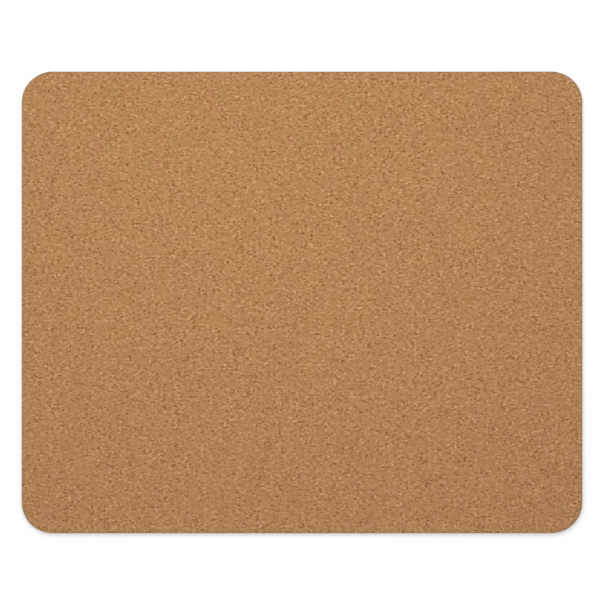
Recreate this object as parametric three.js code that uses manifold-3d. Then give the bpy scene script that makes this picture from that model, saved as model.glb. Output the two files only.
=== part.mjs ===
// Mouse pad: a sheet of fine-grain cork bonded to a rubber base with an anti-slip tread.
// Units are millimetres and +Z is up. The origin is the middle of the underside, on the desk.

import * as THREE from "three";
import { mergeVertices } from "three/addons/utils/BufferGeometryUtils.js";
import Module from "manifold-3d";

// Outline that the cutting die gives every layer
const PAD_LENGTH = 230; // along X
const PAD_WIDTH = 189.4; // along Y
const CORNER_RADIUS = 12.7;
const CORNER_STEPS = 14; // facets in each rounded corner

// Layers, from the desk upwards
const BASE_THICKNESS = 1.9;
const BOND_THICKNESS = 0.1;
const CORK_THICKNESS = 1;

// The bond film draws back from the cut edge as it sets, which leaves a hairline seam
const BOND_SETBACK = 0.2;

// The die presses the cork's upper rim round as it cuts
const RIM_RADIUS = 0.3;
const RIM_STEPS = 4; // facets across the rounded rim

// Zigzag grooves of the tread, which run out at the two short sides as on embossed roll stock
const TREAD_PITCH = 5; // from one groove to the next, along Y
const TREAD_WAVELENGTH = 16; // one full zigzag, along X
const TREAD_SWING = 2; // how far a groove swings to each side of its own middle line
const GROOVE_WIDTH = 1.4; // across the groove, square to its run
const GROOVE_DEPTH = 0.5;
const TREAD_LAND = 2; // least plain rubber between the outermost groove and the long sides

// Cutting bodies pass this far beyond the faces that they open
const OVERCUT = 1;

// Half a zigzag along X, and half a groove's width along Y on its slanting runs
const HALF_WAVE = TREAD_WAVELENGTH / 2;
const GROOVE_HALF = GROOVE_WIDTH / 2 / Math.cos(Math.atan2(2 * TREAD_SWING, HALF_WAVE));

const FINISHES = {
  cork: { color: 0xb28457, roughness: 0.92, metalness: 0 },
  bond: { color: 0xcdb98a, roughness: 0.45, metalness: 0 },
  rubber: { color: 0x2c2b2a, roughness: 0.88, metalness: 0 },
};

const wasm = await Module();
wasm.setup();

// The pad's outline drawn in by inset, as points in order round it.
function outline(inset) {
  const radius = CORNER_RADIUS - inset;
  const cornerX = PAD_LENGTH / 2 - CORNER_RADIUS;
  const cornerY = PAD_WIDTH / 2 - CORNER_RADIUS;
  const quarter = Math.PI / 2;
  const corners = [
    [cornerX, cornerY],
    [-cornerX, cornerY],
    [-cornerX, -cornerY],
    [cornerX, -cornerY],
  ];
  return corners.flatMap(([x, y], turn) => {
    const arc = new THREE.EllipseCurve(x, y, radius, radius, turn * quarter, (turn + 1) * quarter);
    return arc.getPoints(CORNER_STEPS);
  });
}

// A closed solid through outlines of rising height: each level is { inset, z }.
function loft(levels) {
  const rings = levels.map(({ inset }) => outline(inset));
  const count = rings[0].length;
  const positions = rings.flatMap((ring, i) => ring.flatMap(({ x, y }) => [x, y, levels[i].z]));
  const cap = THREE.ShapeUtils.triangulateShape(rings[0], []);
  const top = (rings.length - 1) * count;
  const faces = [
    ...cap.flatMap(([a, b, c]) => [a, c, b]),
    ...cap.flatMap(([a, b, c]) => [top + a, top + b, top + c]),
  ];
  for (let level = 0; level < rings.length - 1; level++) {
    for (let i = 0; i < count; i++) {
      const here = level * count + i;
      const next = level * count + ((i + 1) % count);
      faces.push(here, next, here + count, next, next + count, here + count);
    }
  }
  return new THREE.BufferGeometry()
    .setAttribute("position", new THREE.Float32BufferAttribute(positions, 3))
    .setIndex(faces);
}

function solidOf(geometry) {
  const bare = geometry.clone().deleteAttribute("normal").deleteAttribute("uv");
  const merged = mergeVertices(bare);
  const vertProperties = merged.attributes.position.array;
  const triVerts = new Uint32Array(merged.index.array);
  return new wasm.Manifold(new wasm.Mesh({ numProp: 3, vertProperties, triVerts }));
}

function geometryOf(solid) {
  const { vertProperties, triVerts } = solid.getMesh();
  return new THREE.BufferGeometry()
    .setAttribute("position", new THREE.BufferAttribute(vertProperties, 3))
    .setIndex(new THREE.BufferAttribute(triVerts, 1));
}

// Cork face: straight cut walls under a quarter-round upper rim.
function corkSheet() {
  const levels = [{ inset: 0, z: 0 }];
  for (let step = 0; step <= RIM_STEPS; step++) {
    const angle = (step / RIM_STEPS) * (Math.PI / 2);
    levels.push({
      inset: RIM_RADIUS * (1 - Math.cos(angle)),
      z: CORK_THICKNESS - RIM_RADIUS * (1 - Math.sin(angle)),
    });
  }
  return loft(levels);
}

function bondFilm() {
  return loft([
    { inset: BOND_SETBACK, z: 0 },
    { inset: BOND_SETBACK, z: BOND_THICKNESS },
  ]);
}

// Plan of one zigzag groove whose middle line lies at y, long enough to run out at both short sides.
function grooveShape(y) {
  const bends = Math.ceil((PAD_LENGTH / 2 + OVERCUT) / HALF_WAVE + 0.5); // to each side of the middle
  const side = (offset) => {
    const points = [];
    for (let bend = -bends; bend < bends; bend++) {
      const swing = bend % 2 === 0 ? TREAD_SWING : -TREAD_SWING;
      points.push(new THREE.Vector2((bend + 0.5) * HALF_WAVE, y + swing + offset));
    }
    return points;
  };
  return new THREE.Shape([...side(-GROOVE_HALF), ...side(GROOVE_HALF).reverse()]);
}

// Rubber base: the flat sheet less its grooves, which keep a ridge along the pad's middle line.
function rubberBase() {
  const sheet = loft([
    { inset: 0, z: 0 },
    { inset: 0, z: BASE_THICKNESS },
  ]);
  const outermost = PAD_WIDTH / 2 - TREAD_LAND - TREAD_SWING - GROOVE_HALF;
  const grooves = [];
  for (let y = TREAD_PITCH / 2; y <= outermost; y += TREAD_PITCH) {
    grooves.push(grooveShape(y), grooveShape(-y));
  }
  const cutters = new THREE.ExtrudeGeometry(grooves, {
    depth: GROOVE_DEPTH + OVERCUT,
    bevelEnabled: false,
  });
  cutters.translate(0, 0, -OVERCUT);
  return geometryOf(solidOf(sheet).subtract(solidOf(cutters)));
}

function layer(name, geometry, finish) {
  const mesh = new THREE.Mesh(geometry, new THREE.MeshStandardMaterial(finish));
  mesh.name = name;
  return mesh;
}

const layers = [
  [layer("rubber_base", rubberBase(), FINISHES.rubber), BASE_THICKNESS],
  [layer("bond_film", bondFilm(), FINISHES.bond), BOND_THICKNESS],
  [layer("cork_sheet", corkSheet(), FINISHES.cork), CORK_THICKNESS],
];

const pad = new THREE.Group();
pad.name = "mouse_pad";

// Vertices are 32-bit numbers, so each thickness is rounded to one and bonded faces meet exactly.
let height = 0;
for (const [mesh, thickness] of layers) {
  mesh.position.z = height;
  height += Math.fround(thickness);
  pad.add(mesh);
}

export default pad;
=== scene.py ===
"""Looks of a cork mouse pad: a fine-grain cork face bonded to a rubber base with an anti-slip tread."""

import math

import bmesh
import bpy
from bpy.props import FloatProperty, FloatVectorProperty, PointerProperty
from mathutils import Color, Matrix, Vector


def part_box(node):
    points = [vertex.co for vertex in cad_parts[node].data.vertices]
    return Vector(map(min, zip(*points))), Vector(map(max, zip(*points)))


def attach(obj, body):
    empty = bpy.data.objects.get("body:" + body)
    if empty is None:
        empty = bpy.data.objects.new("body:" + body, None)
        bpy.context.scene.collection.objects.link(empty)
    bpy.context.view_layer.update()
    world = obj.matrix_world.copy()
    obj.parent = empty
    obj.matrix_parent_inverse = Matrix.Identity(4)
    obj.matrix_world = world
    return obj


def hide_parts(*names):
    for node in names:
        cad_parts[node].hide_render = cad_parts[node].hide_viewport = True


bl_info = {
    "name": "Cork Mouse Pad",
    "version": (1, 0, 0),
    "blender": (4, 5, 0),
    "location": "3D View > Sidebar > Mouse Pad",
    "description": "Models and dresses a cork mouse pad on a rubber base",
    "category": "Add Mesh",
}

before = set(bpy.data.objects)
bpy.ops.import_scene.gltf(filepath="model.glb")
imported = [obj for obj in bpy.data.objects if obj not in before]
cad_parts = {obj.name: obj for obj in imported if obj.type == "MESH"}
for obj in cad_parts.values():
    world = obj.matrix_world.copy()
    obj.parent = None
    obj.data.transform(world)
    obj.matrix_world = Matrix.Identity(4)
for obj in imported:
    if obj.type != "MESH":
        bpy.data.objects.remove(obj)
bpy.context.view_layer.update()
CORK_LOW, CORK_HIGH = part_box("cork_sheet")
BOND_LOW, BOND_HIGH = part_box("bond_film")
BASE_LOW, BASE_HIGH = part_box("rubber_base")

MM = 0.001
TOUCHING = 0.001 * MM  # points nearer than this are one point
QUARTER = math.pi / 2
WHITE = Color((1, 1, 1))
RIM_MARK = "rim"  # attribute that is 1 at the cork's cut edge and 0 on its open face
BAKE_MAP = "OFBake"  # name of a piece's own map for baking its materials onto

# The photograph, in pixels of its 600 by 600 frame: it looks straight down on the pad
PHOTO_SIDE = 600
PHOTO_PAD_LENGTH = 560.77
PHOTO_PAD_CENTRE = Vector((302.04, 302.40))

# Bends between faces: a modelled edge is sharper than the first, and shading stays smooth up to the others
SHARP_BEND = math.radians(30)
SMOOTH_SHEET = math.radians(40)
SMOOTH_CORK = math.radians(60)

# Shares of the cork's thickness between the rows of points on its cut wall: the first holds the rim
WALL_ROWS = (0.4, 0.2, 0.2, 0.2)

# Steps in the rounding of the cork's rim and of the tread's pressed edges
RIM_STEPS = 4
EASING_STEPS = 3

# Layout of a piece's own map on the unit square
MAP_MARGIN = 0.006
MAP_STRIP = 0.02  # height of one wall's strip, and side of the bonded side's patch
MAP_ROW = 0.03  # from one strip to the next
MAP_BROAD = 0.25  # a face that looks up or down by less than this share is a wall

# Most of a noise pattern lies between these values
NOISE_LOW = 0.3
NOISE_HIGH = 0.7

# Values of the crumbs' tone at which the tans stand, and of its shared part at which the binder changes
DARK_TONE = 0.235
USUAL_TONE_LOW = 0.462
USUAL_TONE_HIGH = 0.535
PALE_TONE = 0.825
STRONG_BINDER_TONE = 0.35
FAINT_BINDER_TONE = 0.6

# Values of a pattern between which dust, bloom, bloom on the grit, and thicker adhesive set in
DUST_START = 0.48
DUST_FULL = 0.68
BLOOM_START = 0.4
BLOOM_FULL = 0.7
GRIT_START = 0.4
GRIT_FULL = 0.9
THIN_FLOW = 0.35
THICK_FLOW = 0.6

SAME_HUE = 0.5  # leaves a hue as it is

# A coordinate that is multiplied by less than 1 makes a pattern longer along its axis
ALONG_SHEET = (0.66, 1, 1)
UPRIGHT = (1, 1, 0.06)


def linear(hex_colour):
    """Turns an sRGB hex colour such as B28457 into linear red, green and blue."""
    levels = [int(hex_colour[i : i + 2], 16) / 255 for i in (0, 2, 4)]
    return [c / 12.92 if c <= 0.04045 else ((c + 0.055) / 1.055) ** 2.4 for c in levels]


def length_setting(name, description, default):
    """A length in metres, shown in the scene's units."""
    return FloatProperty(name=name, description=description, default=default, min=0, unit="LENGTH")


def level_setting(name, description, default):
    """A share from 0 to 1, shown as a slider."""
    return FloatProperty(
        name=name, description=description, default=default, min=0, max=1, subtype="FACTOR"
    )


def colour_setting(name, description, hex_colour):
    """A colour, kept as linear red, green and blue."""
    return FloatVectorProperty(
        name=name, description=description, default=linear(hex_colour), min=0, max=1, subtype="COLOR"
    )


class PadShape(bpy.types.PropertyGroup):
    """Sizes of the fine forms on the pad."""

    grain_spacing: length_setting(
        "Grain Spacing", "Distance between the points that carry the cork's relief", 0.76 * MM
    )
    grain_size: length_setting("Grain Size", "Across the granules that stand out of the cork face", 0.9 * MM)
    grain_relief: length_setting(
        "Grain Relief", "Height from the deepest to the proudest granules of the cork face", 0.06 * MM
    )
    # Width of the band of painted edge shade, partly crushed cork, along the cut edge
    shaded_rim_width: length_setting(
        "Rim Wear", "How far in from the cut edge the cork is darkened by the die and by hands", 0.8 * MM
    )
    rim_radius: length_setting(
        "Rim Radius", "Rounding that the cutting die presses into the cork's upper rim", 0.3 * MM
    )
    cut_grain: length_setting("Cut Grain", "Across the granules torn open on the cork's cut wall", 0.7 * MM)
    cut_roughness: length_setting(
        "Cut Roughness", "How far torn granules stand out of the cork's cut wall", 0.08 * MM
    )
    seam_spacing: length_setting(
        "Seam Spacing", "Distance between the points along the bead of adhesive", 1.9 * MM
    )
    seam_swell: length_setting("Seam Swell", "Length of one swell of the bead of adhesive", 5 * MM)
    seam_waver: length_setting(
        "Seam Waver", "How far the bead of adhesive in the seam wanders in and out", 0.16 * MM
    )
    tread_pitch: length_setting("Tread Pitch", "From one groove of the tread to the next", 5 * MM)
    tread_wavelength: length_setting("Tread Wavelength", "Length of one full zigzag", 16 * MM)
    tread_swing: length_setting(
        "Tread Swing", "How far a groove swings to each side of its own middle line", 2 * MM
    )
    tread_land: length_setting(
        "Tread Land", "Least plain rubber between the outermost groove and the long sides", 2 * MM
    )
    groove_width: length_setting(
        "Groove Width", "Across a groove at its mouth, square to its run", 1.4 * MM
    )
    groove_depth: length_setting("Groove Depth", "How deep a groove is pressed", 0.5 * MM)
    groove_draft: length_setting(
        "Groove Draft", "How far each wall of a groove leans in, so that it leaves the press", 0.16 * MM
    )
    tread_easing: length_setting("Tread Easing", "Rounding of the pressed edges of the tread", 0.12 * MM)


class PadPatterns(bpy.types.PropertyGroup):
    """Real sizes of the patterns in the materials."""

    granule: length_setting("Granule", "Across the cork granules", 0.78 * MM)
    granule_push: length_setting("Granule Push", "How far crumbs are pushed out of even rows", 0.3 * MM)
    crumb: length_setting("Crumb", "Across the crumbs that make up the granules", 0.5 * MM)
    crumb_crown: length_setting("Crumb Crown", "How far a crumb stands over the binder", 0.06 * MM)
    crumb_shoulder: length_setting("Crumb Shoulder", "Width of a crumb's rounded edge", 0.125 * MM)
    binder: length_setting("Binder", "Width of the binder that shows on a crumb's edge", 0.05 * MM)
    dust_patch: length_setting("Dust Patch", "Across the patches of sanding dust on the cork", 4 * MM)
    batch: length_setting("Batch", "Across the batches of granules that differ in tone", 16 * MM)
    warmth: length_setting("Warmth", "Across the drifts of warmer and cooler cork", 8 * MM)
    flow: length_setting("Flow", "Across the flow marks in the adhesive", 3 * MM)
    cloud: length_setting("Cloud", "Across the clouds of bloom on the rubber", 24 * MM)
    sand: length_setting("Sand", "Grit of the press that shows on the tread", 0.4 * MM)
    scratch: length_setting("Scratch", "Between the die's upright scratches on the rubber's wall", 0.25 * MM)
    rubber_grain: length_setting("Rubber Grain", "Height of the grit and the scratches", 0.1 * MM)


class PadLevels(bpy.types.PropertyGroup):
    """How strongly the patterns show."""

    crumb_share: level_setting("Crumb Share", "How much of a crumb's tone is its own", 0.25)
    faint_binder: level_setting("Faint Binder", "Darkness of the binder about pale crumbs", 0.1)
    strong_binder: level_setting("Strong Binder", "Darkness of the binder about dark crumbs", 0.6)
    dust_cover: level_setting("Dust Cover", "How much of the grain a patch of dust hides", 0.52)
    bark_share: level_setting("Bark Share", "Share of the crumbs that hold bark", 0.016)
    bark_cover: level_setting("Bark Cover", "How much of such a crumb is bark at most", 0.8)
    batch_contrast: level_setting(
        "Batch Contrast", "How much paler or darker than the rest a batch of granules is", 0.004
    )
    warmth_drift: level_setting(
        "Warmth Drift", "How far the cork's hue drifts, as a share of the colour circle", 0.0035
    )
    # Strength of the painted edge shade, partly crushed cork
    rim_shade_and_crush: level_setting("Rim Soil", "How much of the rim's own colour shows at the edge", 0.5)
    bloom_dust: level_setting("Bloom Dust", "How much bloom lies on the grit of the rubber", 0.5)


class PadColours(bpy.types.PropertyGroup):
    """Colours of the pad's materials."""

    cork: colour_setting("Cork", "Usual tan of a crumb of cork", "BA895A")
    pale_cork: colour_setting("Pale Cork", "Palest straw-coloured crumbs", "E2B282")
    dark_cork: colour_setting("Dark Cork", "Darkest chestnut crumbs and the binder", "8F5D25")
    dust: colour_setting("Dust", "Fine sanding dust that lies in the pores", "B58557")
    bark: colour_setting("Bark", "Scattered crumbs of outer bark", "642F00")
    # Colour of the painted edge shade, partly crushed cork, on the cut wall and along the edge
    rim: colour_setting("Rim", "Olive brown of the crushed and handled edge", "80704F")
    rubber: colour_setting("Rubber", "Charcoal of the rubber base", "2C2B2A")
    bloom: colour_setting("Bloom", "Grey haze that natural rubber grows on its skin", "3D3C3A")
    bond: colour_setting("Bond", "Cream of the set adhesive film", "CDB98A")
    thin_bond: colour_setting(
        "Thin Bond", "Adhesive where it is thin and the layers show through", "9C8459"
    )
    floor: colour_setting("Floor", "Pale floor under the pad", "F0F0F0")


class PadStage(bpy.types.PropertyGroup):
    """Camera, light and floor."""

    camera_height: length_setting("Camera Height", "Distance from the lens to the cork face", 0.6)
    key_place: FloatVectorProperty(
        name="Key Place",
        description="Middle of the soft lamp, above the pad's far side",
        default=(-0.03, 0.12, 0.38),
        subtype="TRANSLATION",
    )
    key_size: length_setting("Key Size", "Diameter of the soft lamp", 0.3)
    key_power: FloatProperty(
        name="Key Power", description="Power of the soft lamp", default=0.735, min=0, unit="POWER"
    )
    fill_level: level_setting(
        "Fill Level", "Brightness of the white surroundings, where 1 alone lights a colour as written", 0.58
    )
    floor_side: length_setting("Floor Side", "Side of the square floor", 6)
    floor_gap: length_setting("Floor Gap", "How far the floor lies under the tread", 0.02 * MM)
    floor_lift: level_setting("Floor Lift", "White that is added to the floor where it is seen", 0.305)
    fade_start: length_setting("Fade Start", "Where the floor starts to fade into white", 0.16)
    fade_end: length_setting("Fade End", "Where the floor is as white as the surroundings", 0.34)


def add_node(tree, kind, inputs=None, stops=(), **settings):
    """Adds a node. An input is a value, a colour, an output, or a node for its first enabled output."""
    node = tree.nodes.new(kind)
    for name, value in settings.items():
        setattr(node, name, value)
    for key, value in (inputs or {}).items():
        named = [socket for socket in node.inputs if socket.name == key and socket.enabled]
        socket = named[0] if named else node.inputs[key]
        if isinstance(value, bpy.types.Node):
            value = next(output for output in value.outputs if output.enabled)
        if isinstance(value, bpy.types.NodeSocket):
            tree.links.new(value, socket)
        else:
            socket.default_value = (*value, 1) if isinstance(value, Color) else value
    if stops:
        elements = node.color_ramp.elements
        elements.remove(elements[1])
        for index, (position, colour) in enumerate(stops):
            element = elements.new(position) if index else elements[0]
            element.position = position
            element.color = (*colour, 1)
    return node


def new_tree(owner):
    """Empties the node tree of a new material or world."""
    owner.use_nodes = True
    owner.node_tree.nodes.clear()
    return owner.node_tree


def cork_material(colours, patterns, levels):
    """Fine-grain agglomerated cork, sanded: pressed granules of many tans, flecks of bark, and no gloss."""
    material = bpy.data.materials.new("Agglomerated cork, sanded")
    tree = new_tree(material)
    place = add_node(tree, "ShaderNodeTexCoord").outputs["Object"]

    # Granules lie a little along the sheet, and the press pushes their crumbs out of even rows
    along = add_node(tree, "ShaderNodeVectorMath", {0: place, 1: ALONG_SHEET}, operation="MULTIPLY")
    granules = add_node(
        tree, "ShaderNodeTexNoise", {"Vector": along, "Scale": 1 / patterns.granule, "Detail": 0}
    )
    pushed = add_node(
        tree,
        "ShaderNodeVectorMath",
        {0: granules.outputs["Color"], 1: [patterns.granule_push] * 3, 2: along},
        operation="MULTIPLY_ADD",
    )
    crumbs = add_node(tree, "ShaderNodeTexVoronoi", {"Vector": pushed, "Scale": 1 / patterns.crumb})

    # Each crumb has one tone, in part shared with the crumbs about it and in part its own
    shared = add_node(
        tree,
        "ShaderNodeTexNoise",
        {"Vector": crumbs.outputs["Position"], "Scale": 1 / patterns.granule, "Detail": 0},
    )
    grain = add_node(
        tree,
        "ShaderNodeMix",
        {"Factor": levels.crumb_share, "A": shared, "B": crumbs.outputs["Color"]},
    )
    tone = add_node(
        tree,
        "ShaderNodeValToRGB",
        {"Fac": grain},
        stops=[
            (DARK_TONE, colours.dark_cork),
            (USUAL_TONE_LOW, colours.cork),
            (USUAL_TONE_HIGH, colours.cork),
            (PALE_TONE, colours.pale_cork),
        ],
    )

    # The binder shows as thin dark lines where the crumbs meet, most of all about dark ones
    inside = add_node(
        tree,
        "ShaderNodeTexVoronoi",
        {"Vector": pushed, "Scale": 1 / patterns.crumb},
        feature="DISTANCE_TO_EDGE",
    )
    darkness = add_node(
        tree,
        "ShaderNodeMapRange",
        {
            "Value": shared,
            "From Min": FAINT_BINDER_TONE,
            "From Max": STRONG_BINDER_TONE,
            "To Min": levels.faint_binder,
            "To Max": levels.strong_binder,
        },
    )
    width = patterns.binder / patterns.crumb
    line = add_node(
        tree, "ShaderNodeMapRange", {"Value": inside, "From Max": width, "To Min": darkness, "To Max": 0}
    )
    lined = add_node(
        tree, "ShaderNodeMix", {"Factor": line, "A": tone, "B": colours.dark_cork}, data_type="RGBA"
    )

    # Sanding dust lies in the pores in patches and calms the grain there
    patches = add_node(
        tree, "ShaderNodeTexNoise", {"Vector": place, "Scale": 1 / patterns.dust_patch, "Detail": 1}
    )
    calm = add_node(
        tree,
        "ShaderNodeMapRange",
        {"Value": patches, "From Min": DUST_START, "From Max": DUST_FULL, "To Max": levels.dust_cover},
    )
    dusted = add_node(
        tree, "ShaderNodeMix", {"Factor": calm, "A": lined, "B": colours.dust}, data_type="RGBA"
    )

    # A few of the crumbs are partly or wholly outer bark
    kind = add_node(tree, "ShaderNodeSeparateColor", {"Color": crumbs.outputs["Color"]}).outputs["Blue"]
    share = add_node(
        tree,
        "ShaderNodeMapRange",
        {"Value": kind, "From Min": 1 - levels.bark_share, "From Max": 1, "To Max": levels.bark_cover},
    )
    flecked = add_node(
        tree, "ShaderNodeMix", {"Factor": share, "A": dusted, "B": colours.bark}, data_type="RGBA"
    )

    # Batches of granules leave the sheet faintly cloudy in tone and in warmth
    batches = add_node(
        tree, "ShaderNodeTexNoise", {"Vector": place, "Scale": 1 / patterns.batch, "Detail": 1}
    )
    value = add_node(
        tree,
        "ShaderNodeMapRange",
        {
            "Value": batches,
            "From Min": NOISE_LOW,
            "From Max": NOISE_HIGH,
            "To Min": 1 - levels.batch_contrast,
            "To Max": 1 + levels.batch_contrast,
        },
    )
    warmth = add_node(
        tree,
        "ShaderNodeTexNoise",
        {"Vector": place, "Scale": 1 / patterns.warmth, "Detail": 2, "Roughness": 0.7},
    )
    hue = add_node(
        tree,
        "ShaderNodeMapRange",
        {
            "Value": warmth,
            "From Min": NOISE_LOW,
            "From Max": NOISE_HIGH,
            "To Min": SAME_HUE - levels.warmth_drift,
            "To Max": SAME_HUE + levels.warmth_drift,
        },
    )
    cloudy = add_node(tree, "ShaderNodeHueSaturation", {"Hue": hue, "Value": value, "Color": flecked})

    # Painted edge shade, partly crushed cork: the cut wall and a narrow band of the face along it are mixed
    # towards the olive brown of the rim
    rim = add_node(tree, "ShaderNodeAttribute", attribute_name=RIM_MARK).outputs["Fac"]
    edge_shade_and_crush = add_node(tree, "ShaderNodeMath", {0: rim, 1: levels.rim_shade_and_crush}, operation="MULTIPLY")
    colour = add_node(
        tree, "ShaderNodeMix", {"Factor": edge_shade_and_crush, "A": cloudy, "B": colours.rim}, data_type="RGBA"
    )

    # Each crumb is a low crown over the binder, with a dullness of its own
    shoulder = patterns.crumb_shoulder / patterns.crumb
    crown = add_node(
        tree,
        "ShaderNodeMapRange",
        {"Value": inside, "From Max": shoulder},
        interpolation_type="SMOOTHSTEP",
    )
    bump = add_node(
        tree, "ShaderNodeBump", {"Strength": 0.6, "Distance": patterns.crumb_crown, "Height": crown}
    )
    roughness = add_node(
        tree, "ShaderNodeMapRange", {"Value": crumbs.outputs["Color"], "To Min": 0.85, "To Max": 1}
    )
    shader = add_node(
        tree,
        "ShaderNodeBsdfPrincipled",
        {
            "Base Color": colour,
            "Roughness": roughness,
            "IOR": 1.53,
            "Specular IOR Level": 0.2,
            "Normal": bump,
        },
    )
    add_node(tree, "ShaderNodeOutputMaterial", {"Surface": shader})
    return material


def bond_material(colours, patterns):
    """Hot-melt film, set: a cream film with a faint gloss, browner where it is thin."""
    material = bpy.data.materials.new("Hot-melt film, set")
    tree = new_tree(material)
    place = add_node(tree, "ShaderNodeTexCoord").outputs["Object"]
    flow = add_node(tree, "ShaderNodeTexNoise", {"Vector": place, "Scale": 1 / patterns.flow, "Detail": 2})
    colour = add_node(
        tree,
        "ShaderNodeValToRGB",
        {"Fac": flow},
        stops=[(THIN_FLOW, colours.thin_bond), (THICK_FLOW, colours.bond)],
    )
    shader = add_node(
        tree, "ShaderNodeBsdfPrincipled", {"Base Color": colour, "Roughness": 0.45, "IOR": 1.48}
    )
    add_node(tree, "ShaderNodeOutputMaterial", {"Surface": shader})
    return material


def rubber_material(colours, patterns, levels):
    """Natural rubber, embossed: matt charcoal with a cloudy grey bloom and the fine grain of the press."""
    material = bpy.data.materials.new("Natural rubber, embossed")
    tree = new_tree(material)
    place = add_node(tree, "ShaderNodeTexCoord").outputs["Object"]
    clouds = add_node(
        tree,
        "ShaderNodeTexNoise",
        {"Vector": place, "Scale": 1 / patterns.cloud, "Detail": 5, "Roughness": 0.6},
    )
    haze = add_node(
        tree, "ShaderNodeMapRange", {"Value": clouds, "From Min": BLOOM_START, "From Max": BLOOM_FULL}
    )
    clouded = add_node(
        tree,
        "ShaderNodeMix",
        {"Factor": haze, "A": colours.rubber, "B": colours.bloom},
        data_type="RGBA",
    )
    roughness = add_node(tree, "ShaderNodeMapRange", {"Value": haze, "To Min": 0.72, "To Max": 0.92})

    # The press leaves a sandy grain on the tread, and the die upright scratches on the cut walls
    sand = add_node(tree, "ShaderNodeTexVoronoi", {"Vector": place, "Scale": 1 / patterns.sand})
    upright = add_node(tree, "ShaderNodeVectorMath", {0: place, 1: UPRIGHT}, operation="MULTIPLY")
    scratches = add_node(
        tree, "ShaderNodeTexNoise", {"Vector": upright, "Scale": 1 / patterns.scratch, "Detail": 3}
    )
    facing = add_node(tree, "ShaderNodeNewGeometry").outputs["Normal"]
    upward = add_node(tree, "ShaderNodeSeparateXYZ", {"Vector": facing}).outputs["Z"]
    level = add_node(tree, "ShaderNodeMath", {0: upward}, operation="ABSOLUTE")
    height = add_node(tree, "ShaderNodeMix", {"Factor": level, "A": scratches, "B": sand})
    bump = add_node(
        tree, "ShaderNodeBump", {"Strength": 0.8, "Distance": patterns.rubber_grain, "Height": height}
    )
    dusty = add_node(
        tree,
        "ShaderNodeMapRange",
        {"Value": height, "From Min": GRIT_START, "From Max": GRIT_FULL, "To Max": levels.bloom_dust},
    )
    colour = add_node(
        tree, "ShaderNodeMix", {"Factor": dusty, "A": clouded, "B": colours.bloom}, data_type="RGBA"
    )
    shader = add_node(
        tree,
        "ShaderNodeBsdfPrincipled",
        {"Base Color": colour, "Roughness": roughness, "IOR": 1.52, "Normal": bump},
    )
    add_node(tree, "ShaderNodeOutputMaterial", {"Surface": shader})
    return material


def pick(piece, kind, wanted):
    """Selects only those vertices, edges or faces of the piece in edit mode that are wanted."""
    bpy.ops.mesh.select_mode(type=kind)
    bpy.ops.mesh.select_all(action="DESELECT")
    mesh = bmesh.from_edit_mesh(piece.data)
    for element in {"VERT": mesh.verts, "EDGE": mesh.edges, "FACE": mesh.faces}[kind]:
        if wanted(element):
            element.select_set(True)
    bmesh.update_edit_mesh(piece.data)


def pick_edge(piece, start, end):
    """Selects only the edge between two points."""

    def between(edge):
        first, last = (vert.co for vert in edge.verts)
        there = (first - start).length + (last - end).length
        back = (first - end).length + (last - start).length
        return min(there, back) < TOUCHING

    pick(piece, "EDGE", between)


def cut_runs(piece, length, *divisions):
    """Divides every edge of this length, and then the parts, by each number in turn."""
    for parts in divisions:
        pick(piece, "EDGE", lambda edge: abs(edge.calc_length() - length) < TOUCHING)
        bpy.ops.mesh.subdivide(number_cuts=parts - 1)
        length /= parts


def corner_radius_of(node):
    """Radius of a sheet's rounded corners, from where its straight far side ends."""
    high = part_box(node)[1]
    far_side = [v.co.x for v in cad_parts[node].data.vertices if high.y - v.co.y < TOUCHING]
    return high.x - max(far_side)


def start_plane(name, length, width, height):
    """Starts a piece as one level rectangle about the middle, in edit mode."""
    bpy.ops.object.select_all(action="DESELECT")
    bpy.ops.mesh.primitive_plane_add(size=1)
    piece = bpy.context.active_object
    piece.name = piece.data.name = name
    bpy.ops.object.mode_set(mode="EDIT")
    bpy.ops.transform.resize(value=(length, width, 1))
    bpy.ops.transform.translate(value=(0, 0, height))
    return piece


def flat_sheet(name, node, spacing):
    """Starts a die-cut sheet as its upper face: a middle, a strip on each side, and corners spun between."""
    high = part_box(node)[1]
    radius = corner_radius_of(node)
    middle = Vector((high.x - radius, high.y - radius, high.z))
    piece = start_plane(name, 2 * middle.x, 2 * middle.y, middle.z)
    signs = ((1, 1), (-1, 1), (-1, -1), (1, -1))
    corners = [Vector((x * middle.x, y * middle.y, middle.z)) for x, y in signs]
    outward = [Vector(side) * radius for side in ((0, 1, 0), (-1, 0, 0), (0, -1, 0), (1, 0, 0))]
    for side in range(4):
        pick_edge(piece, corners[side], corners[(side + 1) % 4])
        bpy.ops.mesh.extrude_edges_move(TRANSFORM_OT_translate={"value": outward[side]})
    steps = round(radius * QUARTER / spacing)
    for corner in range(4):
        pick_edge(piece, corners[corner], corners[corner] + outward[corner - 1])
        bpy.ops.mesh.spin(steps=steps, angle=-QUARTER, center=corners[corner], axis=(0, 0, 1))

    # The long runs are quartered first, because an edge takes at most 100 cuts at a time
    for run in (2 * middle.x, 2 * middle.y):
        cut_runs(piece, run, 4, round(run / 4 / spacing))
    cut_runs(piece, radius, round(radius / spacing))
    bpy.ops.mesh.select_all(action="SELECT")
    bpy.ops.mesh.remove_doubles(threshold=TOUCHING)
    return piece


def drop_walls(piece, drops):
    """Extrudes the open rim down by each drop in turn and closes the underside."""
    pick(piece, "EDGE", lambda edge: edge.is_boundary)
    for drop in drops:
        bpy.ops.mesh.extrude_edges_move(TRANSFORM_OT_translate={"value": (0, 0, -drop)})
    bpy.ops.mesh.edge_face_add()
    bpy.ops.mesh.select_all(action="SELECT")
    bpy.ops.mesh.normals_make_consistent(inside=False)


def name_points(piece, name, wanted):
    """Keeps the wanted vertices as a vertex group."""
    pick(piece, "VERT", wanted)
    bpy.ops.object.vertex_group_assign_new()
    piece.vertex_groups.active.name = name


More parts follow.
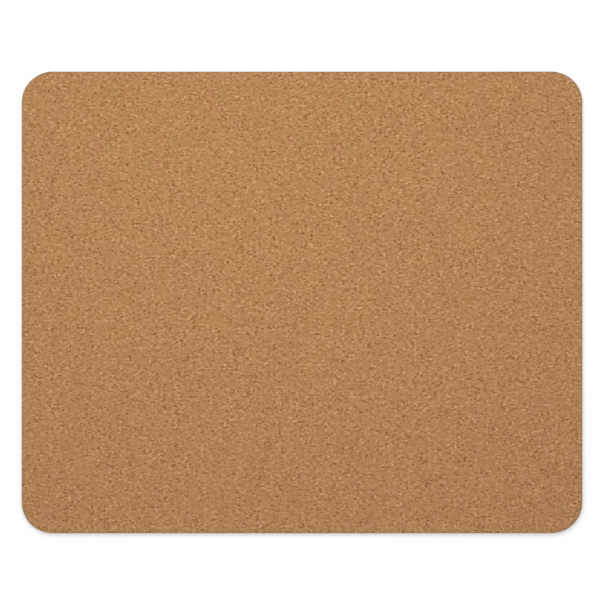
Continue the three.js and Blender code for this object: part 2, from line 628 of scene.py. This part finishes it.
def roughen(piece, group, grain, height, direction):
    """Moves the group's points in and out by a cellular pattern of the given grain."""
    texture = bpy.data.textures.new(f"{piece.name}_{group}", "VORONOI")
    texture.noise_scale = grain
    bpy.ops.object.modifier_add(type="DISPLACE")
    relief = piece.modifiers[-1]
    relief.texture = texture
    relief.texture_coords = "LOCAL"
    relief.direction = direction
    relief.vertex_group = group
    relief.strength = height
    bpy.ops.object.modifier_apply(modifier=relief.name)


def repeat(piece, count, step):
    """Copies the piece at each step and merges the copies where they meet."""
    bpy.ops.object.modifier_add(type="ARRAY")
    copies = piece.modifiers[-1]
    copies.count = count
    copies.use_relative_offset = False
    copies.use_constant_offset = True
    copies.constant_offset_displace = step
    copies.use_merge_vertices = True
    copies.merge_threshold = TOUCHING
    bpy.ops.object.modifier_apply(modifier=copies.name)


def lay_out_map(piece, low, high, upward):
    """Maps the broad side that shows over most of the square, and below it the walls and the bonded side."""
    layout = piece.data.uv_layers.new(name=BAKE_MAP)
    size = high - low
    room = 1 - 2 * MAP_MARGIN
    scale = room / size.x
    for face in piece.data.polygons:
        facing = face.normal
        broad = facing.z if upward else -facing.z
        sides = (facing.x, facing.y, -facing.x, -facing.y)
        wall = sides.index(max(sides))
        for loop in face.loop_indices:
            spot = piece.data.vertices[piece.data.loops[loop].vertex_index].co - low
            if broad > MAP_BROAD:
                place = (spot.x * scale, room - (size.y - spot.y) * scale)
            elif broad < -MAP_BROAD:
                place = (spot.x / size.x * MAP_STRIP, spot.y / size.y * MAP_STRIP)
            else:
                along = spot.y if wall in (0, 2) else spot.x
                place = (along * scale, (wall + 1) * MAP_ROW + spot.z / size.z * MAP_STRIP)
            layout.data[loop].uv = Vector(place) + Vector((MAP_MARGIN, MAP_MARGIN))


def check_closed(piece):
    """Stops the script if the piece has an open or a doubled edge."""
    mesh = bmesh.new()
    mesh.from_mesh(piece.data)
    faults = sum(not edge.is_manifold for edge in mesh.edges)
    mesh.free()
    if faults:
        raise RuntimeError(f"{piece.name} has {faults} edges that aren't shared by two faces")


def finish(piece, node, material, smooth_angle):
    """Shades the piece, gives it its material and lets it stand for its CAD node."""
    check_closed(piece)
    piece.vertex_groups.clear()
    bpy.ops.object.shade_smooth_by_angle(angle=smooth_angle)
    piece.data.materials.clear()
    piece.data.materials.append(material)
    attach(piece, "root")
    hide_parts(node)


class MOUSEPAD_OT_cork_face(bpy.types.Operator):
    """Models the cork face with its granular relief, pressed rim and cut walls"""

    bl_idname = "mousepad.cork_face"
    bl_label = "Cork Face"

    def execute(self, context):
        scene = context.scene
        shape = scene.mousepad_shape
        piece = flat_sheet("cork_face", "cork_sheet", shape.grain_spacing)
        name_points(piece, "face", lambda vert: not vert.is_boundary)
        thickness = CORK_HIGH.z - CORK_LOW.z
        drop_walls(piece, [share * thickness for share in WALL_ROWS])

        def on_rim(edge):
            level = all(CORK_HIGH.z - vert.co.z < TOUCHING for vert in edge.verts)
            return level and edge.calc_face_angle() > SHARP_BEND

        pick(piece, "EDGE", on_rim)
        bpy.ops.mesh.bevel(offset=shape.rim_radius, segments=RIM_STEPS)
        name_points(piece, "cut", lambda v: CORK_LOW.z + TOUCHING < v.co.z < CORK_HIGH.z - TOUCHING)
        bpy.ops.object.mode_set(mode="OBJECT")
        roughen(piece, "face", shape.grain_size, shape.grain_relief, "Z")
        roughen(piece, "cut", shape.cut_grain, shape.cut_roughness, "NORMAL")
        self.mark_rim(piece, shape.shaded_rim_width)
        lay_out_map(piece, CORK_LOW, CORK_HIGH, upward=True)
        material = cork_material(scene.mousepad_colours, scene.mousepad_patterns, scene.mousepad_levels)
        finish(piece, "cork_sheet", material, SMOOTH_CORK)
        return {"FINISHED"}

    def mark_rim(self, piece, width):
        """Marks each point by how near it is to the cut edge, for the painted edge shade."""
        radius = corner_radius_of("cork_sheet")
        middle = Vector((CORK_HIGH.x - radius, CORK_HIGH.y - radius))
        rim = piece.data.attributes.new(RIM_MARK, "FLOAT", "POINT")
        for vert, mark in zip(piece.data.vertices, rim.data):
            beyond = Vector((max(abs(vert.co.x) - middle.x, 0), max(abs(vert.co.y) - middle.y, 0)))
            inside = max(radius - beyond.length, 0)
            mark.value = max(1 - inside / width, 0)


class MOUSEPAD_OT_bond_seam(bpy.types.Operator):
    """Models the adhesive film that shows as a hairline seam between cork and rubber"""

    bl_idname = "mousepad.bond_seam"
    bl_label = "Bond Seam"

    def execute(self, context):
        scene = context.scene
        shape = scene.mousepad_shape
        piece = flat_sheet("bond_seam", "bond_film", shape.seam_spacing)
        half = (BOND_HIGH.z - BOND_LOW.z) / 2
        drop_walls(piece, [half, half])
        name_points(piece, "bead", lambda v: BOND_LOW.z + TOUCHING < v.co.z < BOND_HIGH.z - TOUCHING)
        bpy.ops.object.mode_set(mode="OBJECT")
        roughen(piece, "bead", shape.seam_swell, shape.seam_waver, "NORMAL")
        material = bond_material(scene.mousepad_colours, scene.mousepad_patterns)
        finish(piece, "bond_film", material, SMOOTH_SHEET)
        return {"FINISHED"}


class MOUSEPAD_OT_rubber_tread(bpy.types.Operator):
    """Models the rubber base: one run of a groove, repeated as roll stock and cut by the die"""

    bl_idname = "mousepad.rubber_tread"
    bl_label = "Rubber Tread"

    def execute(self, context):
        scene = context.scene
        shape = scene.mousepad_shape
        slope = math.atan2(2 * shape.tread_swing, shape.tread_wavelength / 2)
        piece = self.press_run(shape, slope)
        self.roll_out(piece, shape, slope)
        self.die_cut(piece, shape.grain_spacing)
        bpy.ops.object.mode_set(mode="OBJECT")
        lay_out_map(piece, BASE_LOW, BASE_HIGH, upward=False)
        material = rubber_material(scene.mousepad_colours, scene.mousepad_patterns, scene.mousepad_levels)
        finish(piece, "rubber_base", material, SMOOTH_SHEET)
        return {"FINISHED"}

    def press_run(self, shape, slope):
        """Presses one slanting run of a groove, between two bends of the zigzag."""
        piece = start_plane("rubber_tread", shape.tread_wavelength / 2, shape.tread_pitch, 0)
        for side in (-1, 1):
            pick(piece, "VERT", lambda vert: vert.co.x * side > 0)
            bpy.ops.transform.translate(value=(0, side * shape.tread_swing, 0))
        across = Vector((-math.sin(slope), math.cos(slope), 0))
        mouth = shape.groove_width / 2
        for reach in (mouth, mouth - shape.groove_draft, shape.groove_draft - mouth, -mouth):
            bpy.ops.mesh.select_all(action="SELECT")
            bpy.ops.mesh.bisect(plane_co=across * reach, plane_no=across, threshold=TOUCHING)
        pick(piece, "FACE", lambda face: abs(face.calc_center_median().dot(across)) < TOUCHING)
        bpy.ops.transform.translate(value=(0, 0, shape.groove_depth))
        pick(piece, "EDGE", lambda edge: edge.calc_face_angle(0) > SHARP_BEND)
        bpy.ops.mesh.bevel(offset=shape.tread_easing, segments=EASING_STEPS)
        return piece

    def roll_out(self, piece, shape, slope):
        """Repeats the run as a sheet of zigzag grooves that is larger than the pad."""
        bend = shape.tread_wavelength / 4
        mouth = shape.groove_width / 2 / math.cos(slope)
        outermost = BASE_HIGH.y - shape.tread_land - shape.tread_swing - mouth
        grooves = 2 * math.floor(outermost / shape.tread_pitch + 0.5)
        waves = math.ceil((BASE_HIGH.x - BASE_LOW.x) / shape.tread_wavelength) + 1
        bpy.ops.mesh.select_all(action="SELECT")
        bpy.ops.transform.translate(value=(-bend, 0, 0))
        bpy.ops.object.mode_set(mode="OBJECT")
        bpy.ops.object.modifier_add(type="MIRROR")
        piece.modifiers[-1].merge_threshold = TOUCHING
        bpy.ops.object.modifier_apply(modifier=piece.modifiers[-1].name)
        repeat(piece, waves, (shape.tread_wavelength, 0, 0))
        repeat(piece, grooves, (0, shape.tread_pitch, 0))
        bpy.ops.object.mode_set(mode="EDIT")
        bpy.ops.mesh.select_all(action="SELECT")
        first = (bend - waves // 2 * shape.tread_wavelength, (1 - grooves) / 2 * shape.tread_pitch, 0)
        bpy.ops.transform.translate(value=first)

        # A plain land runs from the last ridge on each side to well past the die's cut
        for side in (-1, 1):
            last_ridge = side * grooves / 2 * shape.tread_pitch

            def beside_land(edge):
                middle = (edge.verts[0].co + edge.verts[1].co) / 2
                return edge.is_boundary and abs(middle.y - last_ridge) < TOUCHING

            pick(piece, "EDGE", beside_land)
            land = (0, side * 2 * shape.tread_pitch, 0)
            bpy.ops.mesh.extrude_edges_move(TRANSFORM_OT_translate={"value": land})

    def die_cut(self, piece, spacing):
        """Trims the sheet along the outline, a short straight cut at a time, and raises its walls."""
        radius = corner_radius_of("rubber_base")
        middle = Vector((BASE_HIGH.x - radius, BASE_HIGH.y - radius))
        cuts = round(radius * QUARTER / spacing)
        for step in range(4 * cuts):
            angle = step / cuts * QUARTER
            facing = Vector((math.cos(angle), math.sin(angle), 0))
            corner = Vector((math.copysign(middle.x, facing.x), math.copysign(middle.y, facing.y), 0))
            bpy.ops.mesh.select_all(action="SELECT")
            bpy.ops.mesh.bisect(
                plane_co=corner + facing * radius, plane_no=facing, clear_outer=True, threshold=TOUCHING
            )
        pick(piece, "EDGE", lambda edge: edge.is_boundary)
        bpy.ops.mesh.extrude_edges_move(TRANSFORM_OT_translate={"value": (0, 0, BASE_HIGH.z)})
        bpy.ops.transform.resize(value=(1, 1, 0), center_override=(0, 0, BASE_HIGH.z))
        bpy.ops.mesh.edge_face_add()
        bpy.ops.mesh.select_all(action="SELECT")
        bpy.ops.mesh.remove_doubles(threshold=TOUCHING)
        bpy.ops.mesh.normals_make_consistent(inside=False)


class MOUSEPAD_OT_stage(bpy.types.Operator):
    """Sets the floor, the light and the camera that looks straight down"""

    bl_idname = "mousepad.stage"
    bl_label = "Stage"

    def execute(self, context):
        scene = context.scene
        scene.view_settings.view_transform = "Standard"
        self.set_camera(scene)
        self.set_light(scene)
        self.lay_floor(scene)
        return {"FINISHED"}

    def set_camera(self, scene):
        """Hangs the camera where the pad fills the frame as in the photograph."""
        height = scene.mousepad_stage.camera_height
        pixel = (CORK_HIGH.x - CORK_LOW.x) / PHOTO_PAD_LENGTH
        aside = (PHOTO_PAD_CENTRE - Vector((PHOTO_SIDE, PHOTO_SIDE)) / 2) * pixel
        bpy.ops.object.camera_add(location=(-aside.x, aside.y, CORK_HIGH.z + height), rotation=(0, 0, 0))
        scene.camera = bpy.context.active_object
        scene.camera.data.lens = scene.camera.data.sensor_width * height / (PHOTO_SIDE * pixel)

    def set_light(self, scene):
        """Hangs a soft lamp, in surroundings that look white and light the pad as a softer fill."""
        setting = scene.mousepad_stage
        bpy.ops.object.light_add(type="AREA", location=setting.key_place)
        key = bpy.context.active_object
        key.rotation_euler = (-key.location).to_track_quat("-Z", "Y").to_euler()
        key.visible_camera = False
        key.data.shape = "DISK"
        key.data.size = setting.key_size
        key.data.energy = setting.key_power
        scene.world = bpy.data.worlds.new("White surroundings")
        tree = new_tree(scene.world)
        seen = self.seen_directly(tree)
        level = add_node(tree, "ShaderNodeMix", {"Factor": seen, "A": setting.fill_level, "B": 1})
        white = add_node(tree, "ShaderNodeBackground", {"Color": WHITE, "Strength": level})
        add_node(tree, "ShaderNodeOutputWorld", {"Surface": white})

    def lay_floor(self, scene):
        """Lays a pale floor that keeps the pad's shadow and fades into white well away from it."""
        setting = scene.mousepad_stage
        bpy.ops.object.select_all(action="DESELECT")
        bpy.ops.mesh.primitive_plane_add(size=setting.floor_side, location=(0, 0, -setting.floor_gap))
        floor = bpy.context.active_object
        floor.name = floor.data.name = "floor"
        material = bpy.data.materials.new("Pale floor")
        tree = new_tree(material)
        seen = self.seen_directly(tree)
        lit = add_node(tree, "ShaderNodeBsdfDiffuse", {"Color": scene.mousepad_colours.floor})
        lift = add_node(tree, "ShaderNodeMath", {0: seen, 1: setting.floor_lift}, operation="MULTIPLY")
        glow = add_node(tree, "ShaderNodeEmission", {"Color": WHITE, "Strength": lift})
        near = add_node(tree, "ShaderNodeAddShader", {0: lit, 1: glow})
        place = add_node(tree, "ShaderNodeTexCoord").outputs["Object"]
        distance = add_node(tree, "ShaderNodeVectorMath", {0: place}, operation="LENGTH").outputs["Value"]
        away = add_node(
            tree,
            "ShaderNodeMapRange",
            {"Value": distance, "From Min": setting.fade_start, "From Max": setting.fade_end},
            interpolation_type="SMOOTHSTEP",
        )
        fade = add_node(tree, "ShaderNodeMath", {0: away, 1: seen}, operation="MULTIPLY")
        white = add_node(tree, "ShaderNodeEmission", {"Color": WHITE, "Strength": 1})
        surface = add_node(tree, "ShaderNodeMixShader", {"Fac": fade, 1: near, 2: white})
        add_node(tree, "ShaderNodeOutputMaterial", {"Surface": surface})
        floor.data.materials.append(material)

    def seen_directly(self, tree):
        """1 for rays from the camera, a gloss or a clear body, and 0 for light on its way to the pad."""
        path = add_node(tree, "ShaderNodeLightPath").outputs
        seen = path["Is Camera Ray"]
        for ray in ("Is Glossy Ray", "Is Transmission Ray"):
            seen = add_node(tree, "ShaderNodeMath", {0: seen, 1: path[ray]}, operation="MAXIMUM").outputs[0]
        return seen


class MOUSEPAD_PT_sidebar(bpy.types.Panel):
    """Lists the pad's pieces and their settings"""

    bl_idname = "MOUSEPAD_PT_sidebar"
    bl_label = "Mouse Pad"
    bl_space_type = "VIEW_3D"
    bl_region_type = "UI"
    bl_category = "Mouse Pad"

    def draw(self, context):
        for operator in OPERATORS:
            self.layout.operator(operator.bl_idname)
        for name, group in SETTINGS.items():
            settings = getattr(context.scene, name)
            box = self.layout.box()
            for setting in group.__annotations__:
                box.prop(settings, setting)


SETTINGS = {
    "mousepad_shape": PadShape,
    "mousepad_patterns": PadPatterns,
    "mousepad_levels": PadLevels,
    "mousepad_colours": PadColours,
    "mousepad_stage": PadStage,
}
OPERATORS = (MOUSEPAD_OT_cork_face, MOUSEPAD_OT_bond_seam, MOUSEPAD_OT_rubber_tread, MOUSEPAD_OT_stage)
CLASSES = (*SETTINGS.values(), *OPERATORS, MOUSEPAD_PT_sidebar)


def register():
    """Makes the classes known to Blender and gives the scene its settings."""
    for item in CLASSES:
        bpy.utils.register_class(item)
    for name, group in SETTINGS.items():
        setattr(bpy.types.Scene, name, PointerProperty(type=group))


def unregister():
    """Takes the settings and the classes away again."""
    for name in SETTINGS:
        delattr(bpy.types.Scene, name)
    for item in reversed(CLASSES):
        bpy.utils.unregister_class(item)


def main():
    """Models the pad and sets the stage."""
    register()
    bpy.ops.mousepad.cork_face()
    bpy.ops.mousepad.bond_seam()
    bpy.ops.mousepad.rubber_tread()
    bpy.ops.mousepad.stage()


if __name__ == "__main__":
    main()
